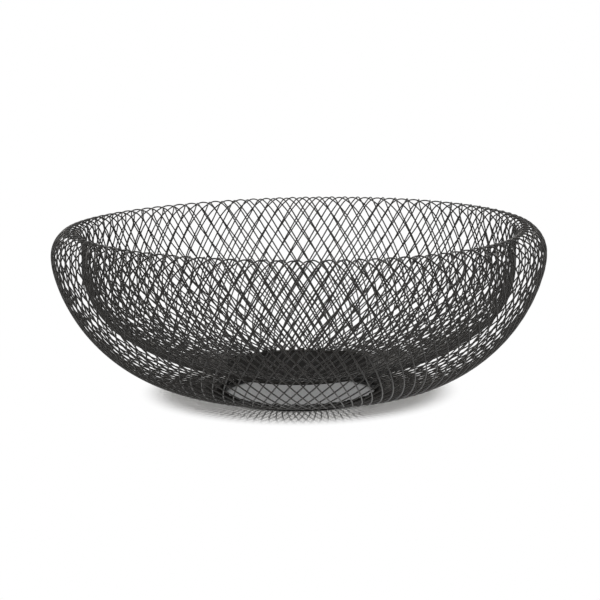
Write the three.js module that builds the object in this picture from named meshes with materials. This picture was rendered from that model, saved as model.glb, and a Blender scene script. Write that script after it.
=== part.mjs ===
// A double-walled wire fruit bowl. Two crossing layers of thin steel wire leave an open base ring as
// the outer wall, fold over in a rounded rim and run down inside as the inner wall.
// Lengths are in millimetres and angles in degrees. +Z is up, and the origin lies on the surface
// that the bowl stands on, at the centre of its base.
import * as THREE from 'three';

// Wire
const wireHeight = 1.05;
const wireWidth = 1.35;
const layerGap = 0.3;

// Mesh: each layer's wires lean one way and cross the other layer's at even steps. The lean grows
// with the radius, as on a net of equal cells, and a little more where the mesh folds at the crest.
const wiresPerLayer = 99;
const wiresPerNode = 4;
const widestLean = 34.27;
const crestLean = 2.9;
const crestReach = 8;
const meshTurn = -0.18;
const layerShift = 1.36;

// The mesh isn't quite true: its wires lie up to unevenTurn off their even places, and the widest
// part rises and sinks by rimWarp twice round
const unevenTurn = 0.62;
const unevenAzimuth = 193;
const rimWarp = 1.12;

// Wall section, half way between the two layers, from the hem at the base to the hem at the floor
const hemRadius = 48.6;
const baseSlope = 8.2;
const baseRun = 20.3;
const wallRadius = 102.2;
const shoulderSlope = 75.1;
const shoulderRadius = 42.6;
const rimOuterRadius = 17.4;
const rimOuterTurn = 55.5;
const crestRadius = 6.8;
const crestTurn = 100.8;
const rimInnerRadius = 16.9;
const innerDrop = 11.8;
const innerWallRadius = 48.7;
const innerWallSlope = 37.1;
const floorRadius = 134.8;
const upright = 90;
const rimTurn = 180;

// Steps along each stretch of the section
const baseSteps = 1;
const wallSteps = 4;
const shoulderSteps = 1;
const rimOuterSteps = 2;
const crestSteps = 3;
const rimInnerSteps = 1;
const dropSteps = 1;
const innerWallSteps = 3;
const floorSteps = 2;
const sumParts = 24;

// Hem rings and the floor plate
const hemRingWire = 2.1;
const plateThickness = 1.6;
const plateEdge = 0.4;
const seatGap = 0.3;
const ringSides = 8;
const ringSegments = 32;

const degrees = Math.PI / 180;
const layerReach = layerGap / 2 + wireHeight;
const halfStep = Math.PI / wiresPerLayer;
const plateRadius = hemRadius - hemRingWire / 2 - seatGap;
const hemHeight = hemRingWire + seatGap + layerReach;

function wireFinish() {
  return new THREE.MeshStandardMaterial({
    color: 0x1d1d1f, metalness: 0.35, roughness: 0.5, flatShading: true,
  });
}

// A stretch of the section gives its point and its heading for t from 0 to 1

function straightStretch(start, length) {
  return (t) => ({
    r: start.r + length * t * Math.cos(start.heading),
    z: start.z + length * t * Math.sin(start.heading),
    heading: start.heading,
  });
}

// A positive turn bends to the left of the heading
function bendStretch(start, radius, turn) {
  const side = Math.sign(turn);
  const centreR = start.r - side * radius * Math.sin(start.heading);
  const centreZ = start.z + side * radius * Math.cos(start.heading);
  return (t) => {
    const heading = start.heading + turn * degrees * t;
    return {
      r: centreR + side * radius * Math.sin(heading),
      z: centreZ - side * radius * Math.cos(heading),
      heading,
    };
  };
}

// The whole section: finely spaced points with their distance along it, and the stations among
// them, the widest point and the crest.
function wallSection() {
  const points = [{ r: hemRadius, z: hemHeight, heading: baseSlope * degrees, along: 0, station: true }];
  const last = () => points[points.length - 1];

  function follow(stretch, steps) {
    for (let part = 1; part <= steps * sumParts; part += 1) {
      const point = stretch(part / (steps * sumParts));
      const along = last().along + Math.hypot(point.r - last().r, point.z - last().z);
      points.push({ ...point, along, station: part % sumParts === 0 });
    }
  }

  follow(straightStretch(last(), baseRun), baseSteps);
  follow(bendStretch(last(), wallRadius, shoulderSlope - baseSlope), wallSteps);
  follow(bendStretch(last(), shoulderRadius, upright - shoulderSlope), shoulderSteps);
  const widest = last();
  follow(bendStretch(last(), rimOuterRadius, rimOuterTurn), rimOuterSteps);
  follow(bendStretch(last(), crestRadius, crestTurn), crestSteps);
  follow(bendStretch(last(), rimInnerRadius, rimTurn - rimOuterTurn - crestTurn), rimInnerSteps);
  follow(straightStretch(last(), innerDrop), dropSteps);
  follow(bendStretch(last(), innerWallRadius, innerWallSlope - upright), innerWallSteps);

  // The last bend flattens out and stops where the section is back at the hem's radius
  const floorRun = (last().r - hemRadius) / floorRadius;
  const floorSlope = Math.asin(Math.sin(innerWallSlope * degrees) - floorRun) / degrees;
  follow(bendStretch(last(), floorRadius, floorSlope - innerWallSlope), floorSteps);

  const crest = points.reduce((highest, point) => (point.z > highest.z ? point : highest));
  return { points, widest, crest };
}

const { points: section, widest, crest } = wallSection();
const cellSide = halfStep * widest.r / Math.sin(widestLean * degrees);

// Stations along the section, each with the angle round the axis that a wire has turned by there
function wallStations() {
  const stations = [];
  let turn = 0;
  section.forEach((point, index) => {
    const before = section[Math.max(index - 1, 0)];
    const sideways = halfStep * (point.r + before.r) / 2;
    const fromCrest = ((point.along + before.along) / 2 - crest.along) / crestReach;
    const lean = Math.asin(sideways / cellSide) + crestLean * degrees * Math.exp(-0.5 * fromCrest ** 2);
    turn += halfStep * (point.along - before.along) * Math.tan(lean) / sideways;
    if (point.station) {
      stations.push({ ...point, turn });
    }
  });
  return stations;
}

// A place on the wall of the slightly untrue bowl, and the way square to the wall there
function onWall(station, evenAzimuth) {
  const uneven = unevenTurn * degrees * Math.cos(evenAzimuth - unevenAzimuth * degrees);
  const azimuth = evenAzimuth + uneven;
  const share = (station.r - hemRadius) / (widest.r - hemRadius);
  const around = new THREE.Vector3(Math.cos(azimuth), Math.sin(azimuth), 0);
  const out = around.clone().multiplyScalar(Math.sin(station.heading));
  out.z = -Math.cos(station.heading);
  const point = around.multiplyScalar(station.r);
  point.z = station.z + rimWarp * share * Math.sin(2 * azimuth);
  return { point, out };
}

// Neighbouring wires of one layer, run back and forth as one length with a turn-back at each hem.
// side is 1 for the outer layer, whose wires lean left as they rise, and -1 for the inner layer.
function wirePath(stations, side, firstWire, wires) {
  const path = [];
  for (let wire = 0; wire < wires; wire += 1) {
    const order = wire % 2 === 0 ? stations : [...stations].reverse();
    const start = 2 * halfStep * (firstWire + wire) + meshTurn * degrees;
    for (const station of order) {
      const place = onWall(station, start - side * (station.turn - layerShift * degrees));
      path.push({ point: place.point, out: place.out.multiplyScalar(side) });
    }
  }
  return path;
}

// A three-sided wire along the path, with its flat side towards the other layer
function wireGeometry(path) {
  const positions = [];
  const faces = [];
  const last = path.length - 1;
  const corners = [[-wireWidth / 2, layerGap / 2], [wireWidth / 2, layerGap / 2], [0, layerReach]];
  const sides = corners.length;

  path.forEach(({ point, out }, index) => {
    const before = path[Math.max(index - 1, 0)].point;
    const after = path[Math.min(index + 1, last)].point;
    const arriving = point.clone().sub(index > 0 ? before : point).normalize();
    const leaving = after.clone().sub(point).normalize();
    const across = out.clone().cross(arriving.clone().add(leaving)).normalize();
    const square = out.clone().cross(index < last ? leaving : arriving).normalize();
    const mitre = 1 / across.dot(square);
    for (const [sideways, outward] of corners) {
      const corner = point.clone();
      corner.addScaledVector(across, sideways * mitre);
      corner.addScaledVector(out, outward);
      positions.push(corner.x, corner.y, corner.z);
    }
    if (index === 0) {
      return;
    }
    const ring = index * sides;
    for (let side = 0; side < sides; side += 1) {
      const next = (side + 1) % sides;
      faces.push(ring - sides + side, ring - sides + next, ring + next);
      faces.push(ring - sides + side, ring + next, ring + side);
    }
  });
  faces.push(0, 2, 1);
  faces.push(last * sides, last * sides + 1, last * sides + 2);

  const geometry = new THREE.BufferGeometry();
  geometry.setAttribute('position', new THREE.Float32BufferAttribute(positions, 3));
  geometry.setIndex(faces);
  geometry.computeVertexNormals();
  return geometry;
}

// A wire ring that the wires' turn-backs are welded to, with a flat side down
function hemRing() {
  const outline = [];
  const reach = hemRingWire / 2 / Math.cos(Math.PI / ringSides);
  for (let side = 0; side <= ringSides; side += 1) {
    const angle = 2 * Math.PI * ((side % ringSides) + 0.5) / ringSides;
    outline.push(new THREE.Vector2(
      hemRadius + reach * Math.cos(angle),
      reach * Math.sin(angle),
    ));
  }
  return new THREE.LatheGeometry(outline, ringSegments).rotateX(Math.PI / 2);
}

// A round plate with its edges taken off, which fits inside the floor's hem ring
function floorPlate() {
  const half = plateThickness / 2;
  const outline = [
    new THREE.Vector2(0, -half),
    new THREE.Vector2(plateRadius - plateEdge, -half),
    new THREE.Vector2(plateRadius, plateEdge - half),
    new THREE.Vector2(plateRadius, half - plateEdge),
    new THREE.Vector2(plateRadius - plateEdge, half),
    new THREE.Vector2(0, half),
  ];
  return new THREE.LatheGeometry(outline, ringSegments).rotateX(Math.PI / 2);
}

const bowl = new THREE.Group();

function add(name, geometry, height = 0) {
  const mesh = new THREE.Mesh(geometry, wireFinish());
  mesh.name = name;
  mesh.position.z = height;
  bowl.add(mesh);
}

const stations = wallStations();

// Under the base hem the open ring stands on the table
add('base_hem_ring', hemRing(), hemRingWire / 2);

// Under the floor hem the ring hangs from the inner layer, and the floor plate fits inside it
const floorHem = stations[stations.length - 1];
const floorReach = layerReach * Math.abs(Math.cos(floorHem.heading));
const floorRingHeight = floorHem.z - floorReach - seatGap - hemRingWire / 2;
add('floor_hem_ring', hemRing(), floorRingHeight);
add('floor_plate', floorPlate(), floorRingHeight);

const layers = [{ name: 'outer_layer_wires', side: 1 }, { name: 'inner_layer_wires', side: -1 }];
for (const { name, side } of layers) {
  for (let first = 0; first < wiresPerLayer; first += wiresPerNode) {
    const number = String(first / wiresPerNode + 1).padStart(2, '0');
    const wires = Math.min(wiresPerNode, wiresPerLayer - first);
    add(`${name}_${number}`, wireGeometry(wirePath(stations, side, first, wires)));
  }
}

export default bowl;
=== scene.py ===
import math

import bpy
import numpy as np
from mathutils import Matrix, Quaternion, Vector


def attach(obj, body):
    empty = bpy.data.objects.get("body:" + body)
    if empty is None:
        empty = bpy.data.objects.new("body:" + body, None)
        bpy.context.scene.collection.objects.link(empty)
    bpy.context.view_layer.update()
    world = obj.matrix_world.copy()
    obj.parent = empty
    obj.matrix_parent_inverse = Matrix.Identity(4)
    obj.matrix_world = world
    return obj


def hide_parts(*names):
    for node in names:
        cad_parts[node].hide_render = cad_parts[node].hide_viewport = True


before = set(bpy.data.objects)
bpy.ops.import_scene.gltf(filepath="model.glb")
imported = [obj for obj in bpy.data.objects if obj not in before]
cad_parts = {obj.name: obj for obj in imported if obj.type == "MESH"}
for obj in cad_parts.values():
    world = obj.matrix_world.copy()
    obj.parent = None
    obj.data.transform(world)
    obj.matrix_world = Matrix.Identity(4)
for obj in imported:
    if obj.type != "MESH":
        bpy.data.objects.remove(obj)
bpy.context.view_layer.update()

# Metres in a millimetre. The bowl is worked out in millimetres, as in the CAD.
MM = 0.001

# Mesh
WIRES_PER_LAYER = 99
WIRES_PER_NODE = 4
WIDEST_LEAN = math.radians(34.27)
CREST_LEAN = math.radians(2.9)
CREST_REACH = 8.0
MESH_TURN = math.radians(-0.18)
LAYER_SHIFT = math.radians(1.36)
HALF_STEP = math.pi / WIRES_PER_LAYER

# How far the mesh is from true: round the axis once, and up and down twice round
UNEVEN_TURN = math.radians(0.62)
UNEVEN_AZIMUTH = math.radians(193)
RIM_WARP = 1.12

# Wall section, half way between the two layers
HEM_RADIUS = 48.6
HEM_HEIGHT = 3.6
BASE_SLOPE = math.radians(8.2)
BASE_RUN = 20.3
WALL_RADIUS = 102.2
SHOULDER_SLOPE = math.radians(75.1)
SHOULDER_RADIUS = 42.6
RIM_OUTER_RADIUS = 17.4
RIM_OUTER_TURN = math.radians(55.5)
CREST_RADIUS = 6.8
CREST_TURN = math.radians(100.8)
RIM_INNER_RADIUS = 16.9
INNER_DROP = 11.8
INNER_WALL_RADIUS = 48.7
INNER_WALL_SLOPE = math.radians(37.1)
FLOOR_RADIUS = 134.8
SECTION_SAMPLES = 600

# Round wire. Each layer reaches past the wall section by WELD_SINK, so that crossing wires sink into
# each other. The station rows are a wire's turn between two stations, in half steps, and DOME holds
# the angles of the rings at its domed ends.
WIRE_RADIUS = 0.44
WELD_SINK = 0.25
WIRE_SIDES = 8
STATION_ROWS = 0.25
RIM_STATION_ROWS = 0.125
DOME = np.radians([80, 55, 28])

# Turn-backs between neighbouring wires of a node
LOOP_HANDLE = 2.0
LOOP_STATIONS = 7

# Weld beads, where wires cross and under the wires' ends
BEAD_LONGEST = 1.7
BEAD_FILL = 1.12
BEAD_SEGMENTS = 8
BEAD_STACKS = 4
HEM_BEAD_OUTWARD = 0.7
HEM_BEAD_AROUND = 0.5
HEM_BEAD_UP = 0.4

# Hem rings
RING_RADIUS = 1.38
RING_SIDES = 16
RING_GAP = 0.15
ROUND_SEGMENTS = 160

# Floor plate. Inside its rolled edge the top steps down to PLATE_SUNK: each step is how far in and
# how far down.
PLATE_RADIUS = 47.3
PLATE_THICKNESS = 1.6
PLATE_MIDDLE = PLATE_RADIUS / 2
PLATE_EDGE_STEPS = 8
PLATE_SUNK = 0.5
PLATE_TOP_STEPS = (0.9, 0.1), (1.6, 0.45), (2.6, PLATE_SUNK)

# Powder coat. Colours and roughness are ranges, and each noise is its scale and detail.
WIRE_BLACKS = (0.0055, 0.0050, 0.0045), (0.0115, 0.0100, 0.0085)
WIRE_GLOSS = 0.36
WIRE_ROUGHNESS = 0.26, 0.40
PLATE_BLACKS = (0.010, 0.0096, 0.0092), (0.020, 0.019, 0.018)
PLATE_GLOSS = 0.01
PLATE_ROUGHNESS = 0.70, 0.82
GLOSS_TINT = (1.0, 0.965, 0.92, 1)
TONE_NOISE = 90, 3
PATCH_NOISE = 320, 3
PEEL_NOISE = 2600, 2
PEEL_STRENGTH = 0.35
PEEL_DEPTH = 0.00006
NOISE_LOW = 0.3
NOISE_HIGH = 0.7

# Floor, in metres. Past SHADE_EDGE, measured from SHADE_CENTRE, the floor glows plain white over the
# bowl's real shadow, so the shadow's edge there is painted. Inside BASE_EDGE from the axis, where the
# floor shows through the open base and lies in the bowl's shade, a share of the white glow is added
# there: painted light.
FLOOR_HALF = 8.0
FLOOR_MATT = (0.84, 0.84, 0.84, 1)
FLOOR_SHADED = (0.97, 0.96, 0.94, 1)
SHADE_CENTRE = (0, 0.0145, 0)
# The shadow ends at this edge because white glow is painted over it, not because the light reaches
# there
SHADE_EDGE = 0.080, 0.104
AXIS = (0, 0, 0)
BASE_EDGE = 0.044, 0.050
# Painted light: the share of white glow added to the shaded floor under the open base
BASE_PAINTED_LIGHT = 0.19

# World: dark but for a low band of light in front of the bowl and beside it. The band fades out
# upwards across BAND_TOP, and backwards across BAND_BACK to BAND_BEHIND of its strength.
WHITE = (1, 1, 1, 1)
DARK_LIGHT = 0.02
BAND_LIGHT = 1.6
BAND_TOP = 0.15, 0.5
BAND_BACK = -0.5, 0.3
BAND_BEHIND = 0.03

# Lamp over the bowl
LAMP_PLACE = (0, 0, 1.9)
LAMP_AIM = (0, 0, 0.05)
LAMP_SIZE = 0.3
LAMP_WATTS = 24

# Camera at the photograph's place: distance, height and tilt as fitted to the mesh's lines
LOOK_HEIGHT = 0.0608
CAMERA_DISTANCE = 1.248
CAMERA_ELEVATION = math.radians(10.005)
CAMERA_ROLL = math.radians(-0.585)
SENSOR_WIDTH = 36.0
FOCAL_PIXELS = 1976.8
FRAME_PIXELS = 600
SHIFT_RIGHT_PIXELS = 0.66
SHIFT_UP_PIXELS = -0.43


# Wall section

def straight_stretch(start, length):
    """Points r, z and heading along a straight run."""
    t = np.linspace(0, 1, SECTION_SAMPLES)
    r, z, heading = start
    return np.stack([
        r + length * t * math.cos(heading),
        z + length * t * math.sin(heading),
        np.full_like(t, heading),
    ])


def bend_stretch(start, radius, turn):
    """Points along an arc. A positive turn bends to the left of the heading."""
    t = np.linspace(0, 1, SECTION_SAMPLES)
    r, z, heading = start
    side = math.copysign(1, turn)
    centre_r = r - side * radius * math.sin(heading)
    centre_z = z + side * radius * math.cos(heading)
    headings = heading + turn * t
    return np.stack([
        centre_r + side * radius * np.sin(headings),
        centre_z - side * radius * np.cos(headings),
        headings,
    ])


def wall_section():
    """The whole section as r, z and heading, and the sample numbers where the rim starts and ends."""
    stretches = [straight_stretch((HEM_RADIUS, HEM_HEIGHT, BASE_SLOPE), BASE_RUN)]

    def bend(radius, turn):
        stretches.append(bend_stretch(stretches[-1][:, -1], radius, turn))

    bend(WALL_RADIUS, SHOULDER_SLOPE - BASE_SLOPE)
    bend(SHOULDER_RADIUS, math.pi / 2 - SHOULDER_SLOPE)
    before_rim = len(stretches)
    bend(RIM_OUTER_RADIUS, RIM_OUTER_TURN)
    bend(CREST_RADIUS, CREST_TURN)
    bend(RIM_INNER_RADIUS, math.pi - RIM_OUTER_TURN - CREST_TURN)
    after_rim = len(stretches)
    stretches.append(straight_stretch(stretches[-1][:, -1], INNER_DROP))
    bend(INNER_WALL_RADIUS, INNER_WALL_SLOPE - math.pi / 2)

    # The last bend flattens out and stops where the section is back at the hem's radius
    floor_run = (stretches[-1][0, -1] - HEM_RADIUS) / FLOOR_RADIUS
    floor_slope = math.asin(math.sin(INNER_WALL_SLOPE) - floor_run)
    bend(FLOOR_RADIUS, floor_slope - INNER_WALL_SLOPE)
    r, z, heading = np.concatenate(stretches, axis=1)
    return r, z, heading, before_rim * SECTION_SAMPLES, after_rim * SECTION_SAMPLES - 1


section_r, section_z, section_heading, rim_start, rim_end = wall_section()
WIDEST_RADIUS = section_r[rim_start]
CELL_SIDE = HALF_STEP * WIDEST_RADIUS / math.sin(WIDEST_LEAN)


def wire_turning():
    """How far a wire has turned round the axis at each sample of the section."""
    lengths = np.hypot(np.diff(section_r), np.diff(section_z))
    along = np.concatenate([[0], np.cumsum(lengths)])
    crest = along[np.argmax(section_z)]
    radius = (section_r[1:] + section_r[:-1]) / 2
    from_crest = ((along[1:] + along[:-1]) / 2 - crest) / CREST_REACH
    even = np.arcsin(HALF_STEP * radius / CELL_SIDE)
    leans = even + CREST_LEAN * np.exp(-0.5 * from_crest ** 2)
    return np.concatenate([[0], np.cumsum(lengths * np.tan(leans) / radius)])


section_turn = wire_turning()
last_turn = section_turn[-1]


def on_section(turn):
    """r, z and heading where a wire has turned this far round the axis."""
    return (
        np.interp(turn, section_turn, section_r),
        np.interp(turn, section_turn, section_z),
        np.interp(turn, section_turn, section_heading),
    )


def on_wall(turn, even_azimuth, side):
    """Points on the slightly untrue wall and the directions square to it, away from the other layer."""
    r, z, heading = on_section(turn)
    azimuth = even_azimuth + UNEVEN_TURN * np.cos(even_azimuth - UNEVEN_AZIMUTH)
    warp = RIM_WARP * (r - HEM_RADIUS) / (WIDEST_RADIUS - HEM_RADIUS) * np.sin(2 * azimuth)
    cosine = np.cos(azimuth)
    sine = np.sin(azimuth)
    points = np.stack([r * cosine, r * sine, z + warp], axis=-1)
    out = side * np.stack([np.sin(heading) * cosine, np.sin(heading) * sine, -np.cos(heading)], axis=-1)
    return points, out


def wire_turns():
    """Turns at which a wire has its stations."""
    parts = []
    rim_from = section_turn[rim_start]
    rim_to = section_turn[rim_end]
    for start, end, rows in (
        (0, rim_from, STATION_ROWS),
        (rim_from, rim_to, RIM_STATION_ROWS),
        (rim_to, last_turn, STATION_ROWS),
    ):
        count = math.ceil((end - start) / (rows * HALF_STEP))
        parts.append(np.linspace(start, end, count + 1)[:-1])
    return np.concatenate(parts + [[last_turn]])


def wire_azimuth(wire, turn, side):
    """The even azimuth of a wire of one layer where it has turned this far."""
    return 2 * HALF_STEP * wire + MESH_TURN - side * (turn - LAYER_SHIFT)


# Mesh builders

def unit(vectors):
    """The vectors at a length of one."""
    return vectors / np.linalg.norm(vectors, axis=-1, keepdims=True)


def grid_faces(rings, sides):
    """Faces between neighbouring rings of vertices, facing away from the rings' middle."""
    faces = []
    for ring in range(rings - 1):
        for k in range(sides):
            here = ring * sides + k
            there = ring * sides + (k + 1) % sides
            faces.append((here, here + sides, there + sides, there))
    return faces


def tube(points, out):
    """Vertices and faces of a round wire with domed ends."""
    tangents = unit(np.gradient(points, axis=0))
    head = points[0] - tangents[0] * WIRE_RADIUS * np.sin(DOME)[:, None]
    tail = points[-1] + tangents[-1] * WIRE_RADIUS * np.sin(DOME[::-1])[:, None]
    path = np.concatenate([head, points, tail])
    caps = len(DOME)
    along = np.concatenate([tangents[:1]] * caps + [tangents] + [tangents[-1:]] * caps)
    outward = np.concatenate([out[:1]] * caps + [out] + [out[-1:]] * caps)
    radii = WIRE_RADIUS * np.concatenate([np.cos(DOME), np.ones(len(points)), np.cos(DOME[::-1])])
    across = unit(np.cross(outward, along))
    outward = np.cross(along, across)
    angles = 2 * math.pi * np.arange(WIRE_SIDES) / WIRE_SIDES
    rings = (
        path[:, None, :]
        + radii[:, None, None] * np.cos(angles)[None, :, None] * across[:, None, :]
        + radii[:, None, None] * np.sin(angles)[None, :, None] * outward[:, None, :]
    )
    faces = grid_faces(len(path), WIRE_SIDES)
    first = tuple(range(WIRE_SIDES))
    last = tuple((len(path) - 1) * WIRE_SIDES + k for k in range(WIRE_SIDES))
    return rings.reshape(-1, 3), faces + [first, last[::-1]]


def bead(centre, along, across, outward):
    """Vertices and faces of a weld bead, whose three directions have its half lengths."""
    points = [centre - outward]
    for stack in range(1, BEAD_STACKS):
        lift = -math.cos(math.pi * stack / BEAD_STACKS)
        reach = math.sin(math.pi * stack / BEAD_STACKS)
        for k in range(BEAD_SEGMENTS):
            angle = 2 * math.pi * k / BEAD_SEGMENTS
            points.append(
                centre + outward * lift + reach * (along * math.cos(angle) + across * math.sin(angle))
            )
    points.append(centre + outward)
    top = len(points) - 1
    faces = []
    for k in range(BEAD_SEGMENTS):
        after = (k + 1) % BEAD_SEGMENTS
        faces.append((0, 1 + after, 1 + k))
        faces.append((top, top - BEAD_SEGMENTS + k, top - BEAD_SEGMENTS + after))
        for stack in range(BEAD_STACKS - 2):
            low = 1 + stack * BEAD_SEGMENTS
            high = low + BEAD_SEGMENTS
            faces.append((low + k, low + after, high + after, high + k))
    return np.array(points), faces


def turned(outline):
    """Vertices and faces of a closed outline of r and z turned round the axis."""
    sides = len(outline)
    angles = 2 * math.pi * np.arange(ROUND_SEGMENTS) / ROUND_SEGMENTS
    r, z = np.array(outline).T
    points = np.stack([
        np.cos(angles)[:, None] * r[None, :],
        np.sin(angles)[:, None] * r[None, :],
        np.broadcast_to(z, (ROUND_SEGMENTS, sides)),
    ], axis=-1)
    faces = []
    for segment in range(ROUND_SEGMENTS):
        after = (segment + 1) % ROUND_SEGMENTS
        for k in range(sides):
            step = (k + 1) % sides
            faces.append((
                segment * sides + k,
                after * sides + k,
                after * sides + step,
                segment * sides + step,
            ))
    return points.reshape(-1, 3), faces


def disc(outline):
    """Vertices and faces of an outline turned round the axis and closed in the middle at both ends."""
    points, faces = turned(outline)
    sides = len(outline)
    faces = [face for face in faces if face[3] - face[0] == 1]
    bottom = len(points)
    top = bottom + 1
    for segment in range(ROUND_SEGMENTS):
        here = segment * sides
        after = (segment + 1) % ROUND_SEGMENTS * sides
        faces.append((bottom, after, here))
        faces.append((top, here + sides - 1, after + sides - 1))
    middles = [[0, 0, outline[0][1]], [0, 0, outline[-1][1]]]
    return np.concatenate([points, middles]), faces


# Wires and their welds

def node_wires(first_wire):
    """The wires that the node from this wire on holds."""
    return range(first_wire, min(first_wire + WIRES_PER_NODE, WIRES_PER_LAYER))


def loop_back(end, end_out, end_way, start, start_out, start_way):
    """The turn-back from one wire's end to the next wire's start, without the two ends."""
    t = np.linspace(0, 1, LOOP_STATIONS + 2)[1:-1, None]
    first = end + LOOP_HANDLE * end_way
    second = start - LOOP_HANDLE * start_way
    points = (
        (1 - t) ** 3 * end
        + 3 * (1 - t) ** 2 * t * first
        + 3 * (1 - t) * t ** 2 * second
        + t ** 3 * start
    )
    return points, unit((1 - t) * end_out + t * start_out)


def layer_wires(side, first_wire):
    """Neighbouring wires of one layer, run back and forth as one length."""
    turns = wire_turns()
    centre_reach = WIRE_RADIUS - WELD_SINK
    runs = []
    for wire in node_wires(first_wire):
        order = turns if (wire - first_wire) % 2 == 0 else turns[::-1]
        points, out = on_wall(order, wire_azimuth(wire, order, side), side)
        runs.append((points + centre_reach * out, out))
    path = [runs[0]]
    for (before, before_out), (after, after_out) in zip(runs, runs[1:]):
        path.append(loop_back(
            before[-1], before_out[-1], unit(before[-1] - before[-2]),
            after[0], after_out[0], unit(after[1] - after[0]),
        ))
        path.append((after, after_out))
    points = np.concatenate([p for p, _ in path])
    out = np.concatenate([o for _, o in path])
    return [tube(points, out)]


def crossing_beads(first_wire):
    """A bead wherever a wire of the inner layer crosses the outer layer's wires of one node."""
    beads = []
    crossings = np.arange(LAYER_SHIFT, last_turn, HALF_STEP)
    radii, _, _ = on_section(crossings)
    for wire in node_wires(first_wire):
        points, outs = on_wall(crossings, wire_azimuth(wire, crossings, 1), 1)
        for point, out, radius in zip(points, outs, radii):
            lean = math.asin(HALF_STEP * radius / CELL_SIDE)
            around = unit(np.array([-point[1], point[0], 0]))
            along = np.cross(around, out)
            length = min(BEAD_FILL * WIRE_RADIUS / math.sin(lean), BEAD_LONGEST)
            width = WIRE_RADIUS / math.cos(lean)
            beads.append(bead(point, along * length, around * width, out * WIRE_RADIUS))
    return beads


def hem_beads(height, turn):
    """A bead under each wire's end, between it and the hem ring below."""
    beads = []
    for side in (1, -1):
        for wire in range(WIRES_PER_LAYER):
            point, _ = on_wall(turn, wire_azimuth(wire, turn, side), side)
            outward = unit(np.array([point[0], point[1], 0]))
            around = np.array([-outward[1], outward[0], 0])
            centre = np.array([point[0], point[1], height])
            up = np.array([0, 0, HEM_BEAD_UP])
            beads.append(bead(centre, outward * HEM_BEAD_OUTWARD, around * HEM_BEAD_AROUND, up))
    return beads


# Hem rings and the floor plate

def ring(height):
    """A round wire ring with its middle at this height."""
    outline = []
    for k in range(RING_SIDES):
        angle = 2 * math.pi * k / RING_SIDES
        outline.append((
            HEM_RADIUS + RING_RADIUS * math.cos(angle),
            height + RING_RADIUS * math.sin(angle),
        ))
    return [turned(outline)]


def plate(height):
    """A plate with its bottom at this height, a rolled edge and a flat middle."""
    edge = PLATE_THICKNESS / 2
    edge_middle = PLATE_RADIUS - edge
    top = height + PLATE_THICKNESS
    outline = [(PLATE_MIDDLE, height), (edge_middle, height)]
    for k in range(1, PLATE_EDGE_STEPS + 1):
        angle = -math.pi / 2 + math.pi * k / PLATE_EDGE_STEPS
        outline.append((edge_middle + edge * math.cos(angle), height + edge + edge * math.sin(angle)))
    for inward, down in PLATE_TOP_STEPS:
        outline.append((edge_middle - inward, top - down))
    outline.append((PLATE_MIDDLE, top - PLATE_SUNK))
    return [disc(outline)]


# Materials

def new_material(name):
    """A node material with its nodes and links."""
    material = bpy.data.materials.new(name)
    material.use_nodes = True
    return material, material.node_tree.nodes, material.node_tree.links


def noise(nodes, links, source, scale, detail):
    """Noise at the source's places."""
    node = nodes.new("ShaderNodeTexNoise")
    node.inputs["Scale"].default_value = scale
    node.inputs["Detail"].default_value = detail
    links.new(source, node.inputs["Vector"])
    return node.outputs["Fac"]


def spread(nodes, links, source, low, high):
    """Maps noise, most of which lies from NOISE_LOW to NOISE_HIGH, to the range from low to high."""
    node = nodes.new("ShaderNodeMapRange")
    node.inputs["From Min"].default_value = NOISE_LOW
    node.inputs["From Max"].default_value = NOISE_HIGH
    node.inputs["To Min"].default_value = low
    node.inputs["To Max"].default_value = high
    links.new(source, node.inputs["Value"])
    return node.outputs["Result"]


def eased(nodes, links, source, across, values):
    """Goes smoothly from the first value to the second where the source goes across the range."""
    node = nodes.new("ShaderNodeMapRange")
    node.interpolation_type = "SMOOTHSTEP"
    node.inputs["From Min"].default_value = across[0]
    node.inputs["From Max"].default_value = across[1]
    node.inputs["To Min"].default_value = values[0]
    node.inputs["To Max"].default_value = values[1]
    links.new(source, node.inputs["Value"])
    return node.outputs["Result"]


def two_colours(nodes, links, factor, first, second):
    """A colour between two colours."""
    node = nodes.new("ShaderNodeMix")
    node.data_type = "RGBA"
    node.inputs["A"].default_value = (*first, 1)
    node.inputs["B"].default_value = (*second, 1)
    links.new(factor, node.inputs["Factor"])
    return node.outputs["Result"]


def two_shaders(nodes, links, factor, first, second):
    """The first shader where the factor is 0 and the second where it is 1."""
    node = nodes.new("ShaderNodeMixShader")
    links.new(factor, node.inputs["Fac"])
    links.new(first, node.inputs[1])
    links.new(second, node.inputs[2])
    return node.outputs["Shader"]


def either(nodes, links, first, second):
    """The larger of two values."""
    node = nodes.new("ShaderNodeMath")
    node.operation = "MAXIMUM"
    links.new(first, node.inputs[0])
    links.new(second, node.inputs[1])
    return node.outputs["Value"]


def distance_from(nodes, links, place, centre):
    """How far the place is from the centre."""
    node = nodes.new("ShaderNodeVectorMath")
    node.operation = "DISTANCE"
    node.inputs[1].default_value = centre
    links.new(place, node.inputs[0])
    return node.outputs["Value"]


def shows_background(nodes, links):
    """1 for rays that see the background: from the camera, off gloss and through glass."""
    path = nodes.new("ShaderNodeLightPath")
    seen = path.outputs["Is Camera Ray"]
    for kind in ("Is Glossy Ray", "Is Transmission Ray"):
        seen = either(nodes, links, seen, path.outputs[kind])
    return seen


def diffuse(nodes, colour):
    """A matt shader of one colour."""
    node = nodes.new("ShaderNodeBsdfDiffuse")
    node.inputs["Color"].default_value = colour
    return node.outputs["BSDF"]


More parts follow.
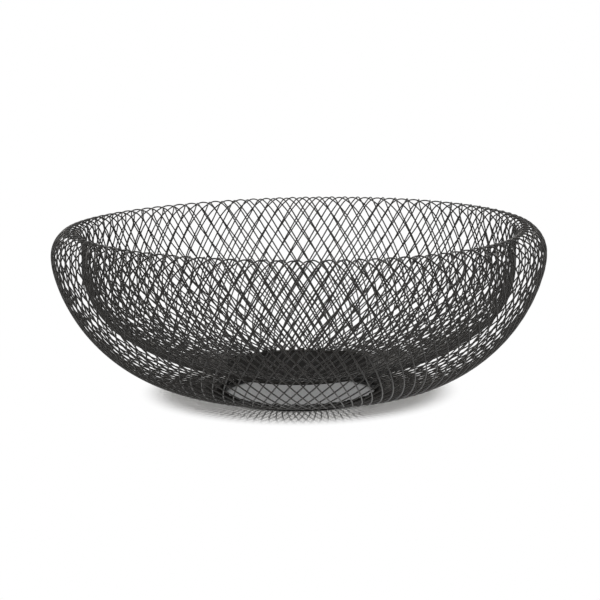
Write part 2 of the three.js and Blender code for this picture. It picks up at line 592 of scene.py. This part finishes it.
def powder_coat(name, colours, gloss, roughness):
    """Black powder coat: fine orange peel, and small changes of tone and gloss."""
    material, nodes, links = new_material(name)
    shader = nodes["Principled BSDF"]
    place = nodes.new("ShaderNodeTexCoord").outputs["Object"]
    tone = spread(nodes, links, noise(nodes, links, place, *TONE_NOISE), 0, 1)
    patches = spread(nodes, links, noise(nodes, links, place, *PATCH_NOISE), *roughness)
    peel = nodes.new("ShaderNodeBump")
    peel.inputs["Strength"].default_value = PEEL_STRENGTH
    peel.inputs["Distance"].default_value = PEEL_DEPTH
    links.new(noise(nodes, links, place, *PEEL_NOISE), peel.inputs["Height"])
    links.new(two_colours(nodes, links, tone, *colours), shader.inputs["Base Color"])
    links.new(patches, shader.inputs["Roughness"])
    links.new(peel.outputs["Normal"], shader.inputs["Normal"])
    shader.inputs["Specular IOR Level"].default_value = gloss
    shader.inputs["Specular Tint"].default_value = GLOSS_TINT
    return material


# The bowl's pieces

def make_piece(name, parts, material, slot, *nodes):
    """One object from parts of vertices in millimetres and faces, standing for CAD nodes."""
    vertices = []
    faces = []
    count = 0
    for points, part_faces in parts:
        vertices.append(points * MM)
        faces.extend(tuple(v + count for v in face) for face in part_faces)
        count += len(points)
    mesh = bpy.data.meshes.new(name)
    mesh.from_pydata(np.concatenate(vertices).tolist(), [], faces)
    mesh.validate()
    mesh.shade_smooth()
    mesh.materials.append(material)
    piece = bpy.data.objects.new(name, mesh)
    bpy.context.scene.collection.objects.link(piece)
    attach(piece, "root")
    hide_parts(*nodes)


coat = powder_coat("satin_powder_coat", WIRE_BLACKS, WIRE_GLOSS, WIRE_ROUGHNESS)
plate_coat = powder_coat("matt_powder_coat", PLATE_BLACKS, PLATE_GLOSS, PLATE_ROUGHNESS)

for first in range(0, WIRES_PER_LAYER, WIRES_PER_NODE):
    number = f"{first // WIRES_PER_NODE + 1:02d}"
    make_piece(
        f"coated_outer_wires_{number}", layer_wires(1, first) + crossing_beads(first),
        coat, "black_wire", f"outer_layer_wires_{number}",
    )
    make_piece(
        f"coated_inner_wires_{number}", layer_wires(-1, first),
        coat, "black_wire", f"inner_layer_wires_{number}",
    )

_, floor_z, _ = on_section(last_turn)
wire_low = 2 * WIRE_RADIUS - WELD_SINK
floor_ring_height = floor_z - wire_low - RING_GAP - RING_RADIUS
make_piece(
    "coated_base_ring", ring(RING_RADIUS) + hem_beads(HEM_HEIGHT - wire_low, 0),
    coat, "black_wire", "base_hem_ring",
)
make_piece(
    "coated_floor_ring", ring(floor_ring_height) + hem_beads(floor_z - wire_low, last_turn),
    coat, "black_wire", "floor_hem_ring",
)
make_piece(
    "coated_floor_plate", plate(floor_ring_height - PLATE_THICKNESS / 2),
    plate_coat, "black_wire", "floor_plate",
)


# Floor and world: white to the camera, and plain soft light for the bowl

def floor_material():
    """White past a painted edge to the bowl's shade, with painted light in the shade under the open
    base, and matt paper to the light that falls on the bowl.
    """
    material, nodes, links = new_material("white_paper_floor")
    nodes.remove(nodes["Principled BSDF"])
    place = nodes.new("ShaderNodeTexCoord").outputs["Object"]
    from_shade = distance_from(nodes, links, place, SHADE_CENTRE)
    # Past this edge the floor glows plain white over the bowl's real shadow: a painted edge to the
    # shadow
    white_past_painted_shadow_edge = eased(nodes, links, from_shade, SHADE_EDGE, (0, 1))
    from_axis = distance_from(nodes, links, place, AXIS)
    # Painted light on the floor under the open base, where the bowl's shade falls
    painted_light_under_base = eased(nodes, links, from_axis, BASE_EDGE, (BASE_PAINTED_LIGHT, 0))
    white_and_painted_light = either(nodes, links, white_past_painted_shadow_edge, painted_light_under_base)
    white = nodes.new("ShaderNodeEmission")
    white.inputs["Strength"].default_value = 1
    shaded = diffuse(nodes, FLOOR_SHADED)
    shown = two_shaders(nodes, links, white_and_painted_light, shaded, white.outputs["Emission"])
    matt = diffuse(nodes, FLOOR_MATT)
    top = two_shaders(nodes, links, shows_background(nodes, links), matt, shown)

    # From below the floor is clear, so that the bowl's underside can be looked at
    below = nodes.new("ShaderNodeNewGeometry").outputs["Backfacing"]
    clear = nodes.new("ShaderNodeBsdfTransparent").outputs["BSDF"]
    sided = two_shaders(nodes, links, below, top, clear)
    links.new(sided, nodes["Material Output"].inputs["Surface"])
    return material


def make_floor():
    """A wide flat floor that the bowl stands on."""
    corners = [
        (-FLOOR_HALF, -FLOOR_HALF, 0), (FLOOR_HALF, -FLOOR_HALF, 0),
        (FLOOR_HALF, FLOOR_HALF, 0), (-FLOOR_HALF, FLOOR_HALF, 0),
    ]
    mesh = bpy.data.meshes.new("floor")
    mesh.from_pydata(corners, [], [(0, 1, 2, 3)])
    mesh.materials.append(floor_material())
    floor = bpy.data.objects.new("floor", mesh)
    bpy.context.scene.collection.objects.link(floor)


def make_world():
    """The band of light, and plain white where the background shows."""
    world = bpy.data.worlds.new("studio")
    world.use_nodes = True
    bpy.context.scene.world = world
    nodes = world.node_tree.nodes
    links = world.node_tree.links
    way = nodes.new("ShaderNodeSeparateXYZ")
    links.new(nodes.new("ShaderNodeTexCoord").outputs["Generated"], way.inputs["Vector"])
    band = nodes.new("ShaderNodeMath")
    band.operation = "MULTIPLY_ADD"
    links.new(eased(nodes, links, way.outputs["Z"], BAND_TOP, (BAND_LIGHT, 0)), band.inputs[0])
    links.new(eased(nodes, links, way.outputs["Y"], BAND_BACK, (1, BAND_BEHIND)), band.inputs[1])
    band.inputs[2].default_value = DARK_LIGHT
    soft = nodes["Background"]
    soft.inputs["Color"].default_value = WHITE
    links.new(band.outputs["Value"], soft.inputs["Strength"])
    white = nodes.new("ShaderNodeBackground")
    white.inputs["Color"].default_value = WHITE
    white.inputs["Strength"].default_value = 1
    seen = shows_background(nodes, links)
    both = two_shaders(nodes, links, seen, soft.outputs["Background"], white.outputs["Background"])
    links.new(both, nodes["World Output"].inputs["Surface"])


def make_lamp():
    """A square soft box over the bowl."""
    light = bpy.data.lights.new("top_light", "AREA")
    light.shape = "SQUARE"
    light.size = LAMP_SIZE
    light.energy = LAMP_WATTS
    lamp = bpy.data.objects.new("top_light", light)
    lamp.location = LAMP_PLACE
    lamp.rotation_mode = "QUATERNION"
    aim = Vector(LAMP_AIM) - Vector(LAMP_PLACE)
    lamp.rotation_quaternion = aim.to_track_quat("-Z", "Y")
    bpy.context.scene.collection.objects.link(lamp)


def make_camera():
    """The camera, which looks at a point on the bowl's axis."""
    data = bpy.data.cameras.new("camera")
    data.sensor_width = SENSOR_WIDTH
    data.lens = SENSOR_WIDTH * FOCAL_PIXELS / FRAME_PIXELS
    data.shift_x = SHIFT_RIGHT_PIXELS / FRAME_PIXELS
    data.shift_y = SHIFT_UP_PIXELS / FRAME_PIXELS
    camera = bpy.data.objects.new("camera", data)
    back = Vector((0, -math.cos(CAMERA_ELEVATION), math.sin(CAMERA_ELEVATION)))
    camera.location = Vector((0, 0, LOOK_HEIGHT)) + back * CAMERA_DISTANCE
    camera.rotation_mode = "QUATERNION"
    camera.rotation_quaternion = (-back).to_track_quat("-Z", "Y") @ Quaternion((0, 0, 1), CAMERA_ROLL)
    bpy.context.scene.collection.objects.link(camera)
    bpy.context.scene.camera = camera


make_floor()
make_world()
make_lamp()
make_camera()

bpy.context.scene.view_settings.view_transform = "Standard"
